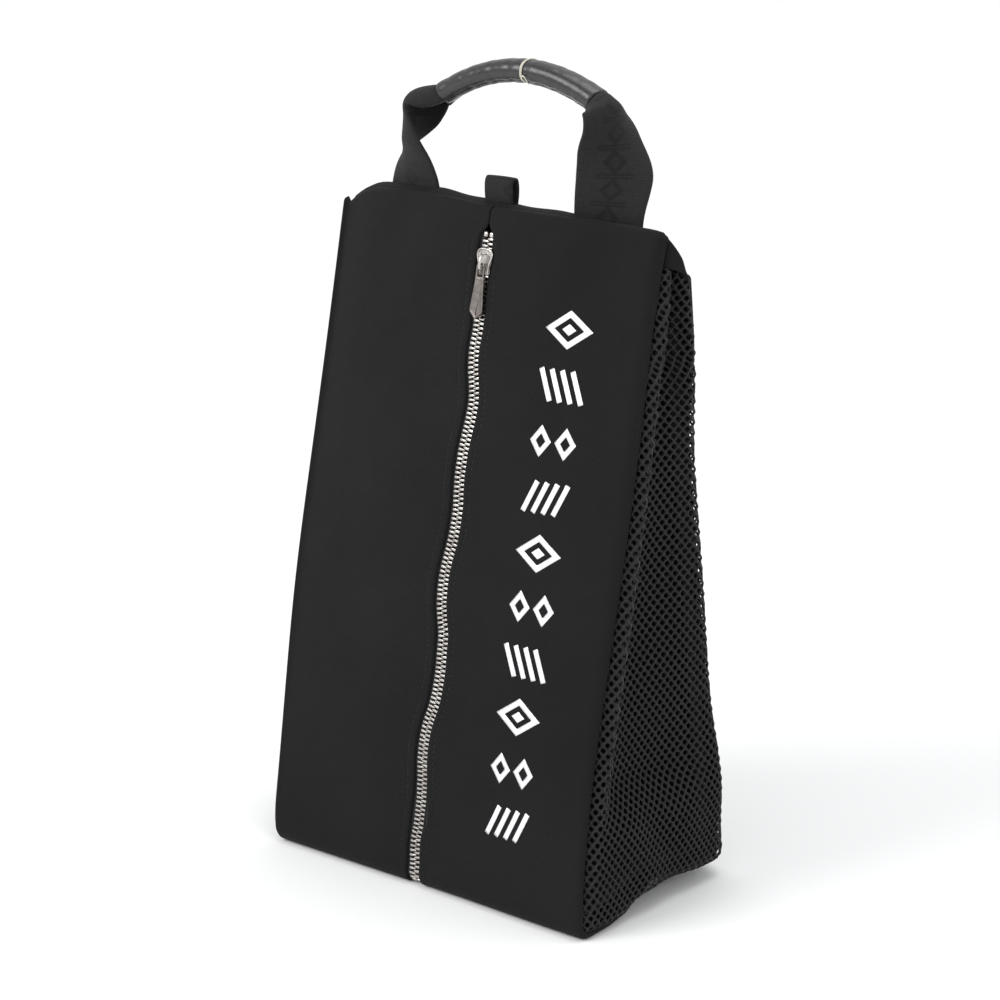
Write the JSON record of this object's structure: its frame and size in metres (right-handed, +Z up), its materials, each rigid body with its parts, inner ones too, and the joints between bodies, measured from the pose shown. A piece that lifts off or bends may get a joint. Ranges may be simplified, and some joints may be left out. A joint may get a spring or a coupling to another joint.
{
  "type": "golf shoe bag",
  "caption": "Tall wedge-shaped shoe carry case with mesh sides, a centre front zip, a webbing handle with a leather grip, and a small hang loop.",
  "frame": {"origin": "middle of the underside of the base, on the ground", "axes": "+Z up, +X to the right of someone facing the front, -Y out of the front, where the zip is"},
  "size_m": [0.2114, 0.1207, 0.4214],
  "materials": {
    "shell_fabric": "dry, fine plain weave, near-black charcoal",
    "side_mesh": "black spacer mesh with hexagonal holes",
    "base_board": "plain sheet",
    "binding_tape": "ribbed tape",
    "zip_tape": "fine twill tape",
    "zip_metal": "nickel-plated, slightly tarnished",
    "pull_metal": "antique nickel, satin",
    "webbing": "tightly woven, tone on tone pattern",
    "grip_leather": "smooth, glossy black",
    "cord": "waxed thread, cream"
  },
  "bodies": {
    "bag": {"front_panel_left": "shell_fabric", "front_panel_right": "shell_fabric", "back_panel": "shell_fabric", "base_panel": "shell_fabric", "top_panel": "shell_fabric", "mesh_side_left": "side_mesh", "mesh_side_right": "side_mesh", "base_board": "base_board", "seam_binding_front_left": "binding_tape", "seam_binding_front_right": "binding_tape", "seam_binding_back_left": "binding_tape", "seam_binding_back_right": "binding_tape", "zip_tape_left": "zip_tape", "zip_tape_right": "zip_tape", "zip_teeth_left": "zip_metal", "zip_teeth_right": "zip_metal", "zip_top_stop_left": "zip_metal", "zip_top_stop_right": "zip_metal", "zip_bottom_stop": "zip_metal"},
    "slider": {"zip_slider": "zip_metal"},
    "pull": {"zip_pull": "pull_metal"},
    "handle": {"handle_webbing": "webbing", "handle_grip": "grip_leather", "grip_cord": "cord"},
    "loop": {"hang_loop": "webbing"}
  },
  "joints": [
    {"name": "zip_slide", "type": "slide", "parent": "bag", "child": "slider", "axis": [-0.0257, -0.1569, -0.9873], "range_m": [-0.003, 0.285]},
    {"name": "pull_hinge", "type": "hinge", "parent": "slider", "child": "pull", "pos_m": [-0.00003, -0.01325, 0.31912], "axis": [-1, 0, 0], "range_deg": [0, 165]},
    {"name": "handle_swing", "type": "hinge", "parent": "bag", "child": "handle", "pos_m": [0, 0.007, 0.3472], "axis": [1, 0, 0], "range_deg": [-95, 84]},
    {"name": "loop_flop", "type": "hinge", "parent": "bag", "child": "loop", "pos_m": [0, 0.0026, 0.3465], "axis": [1, 0, 0], "range_deg": [-70, 70]}
  ]
}
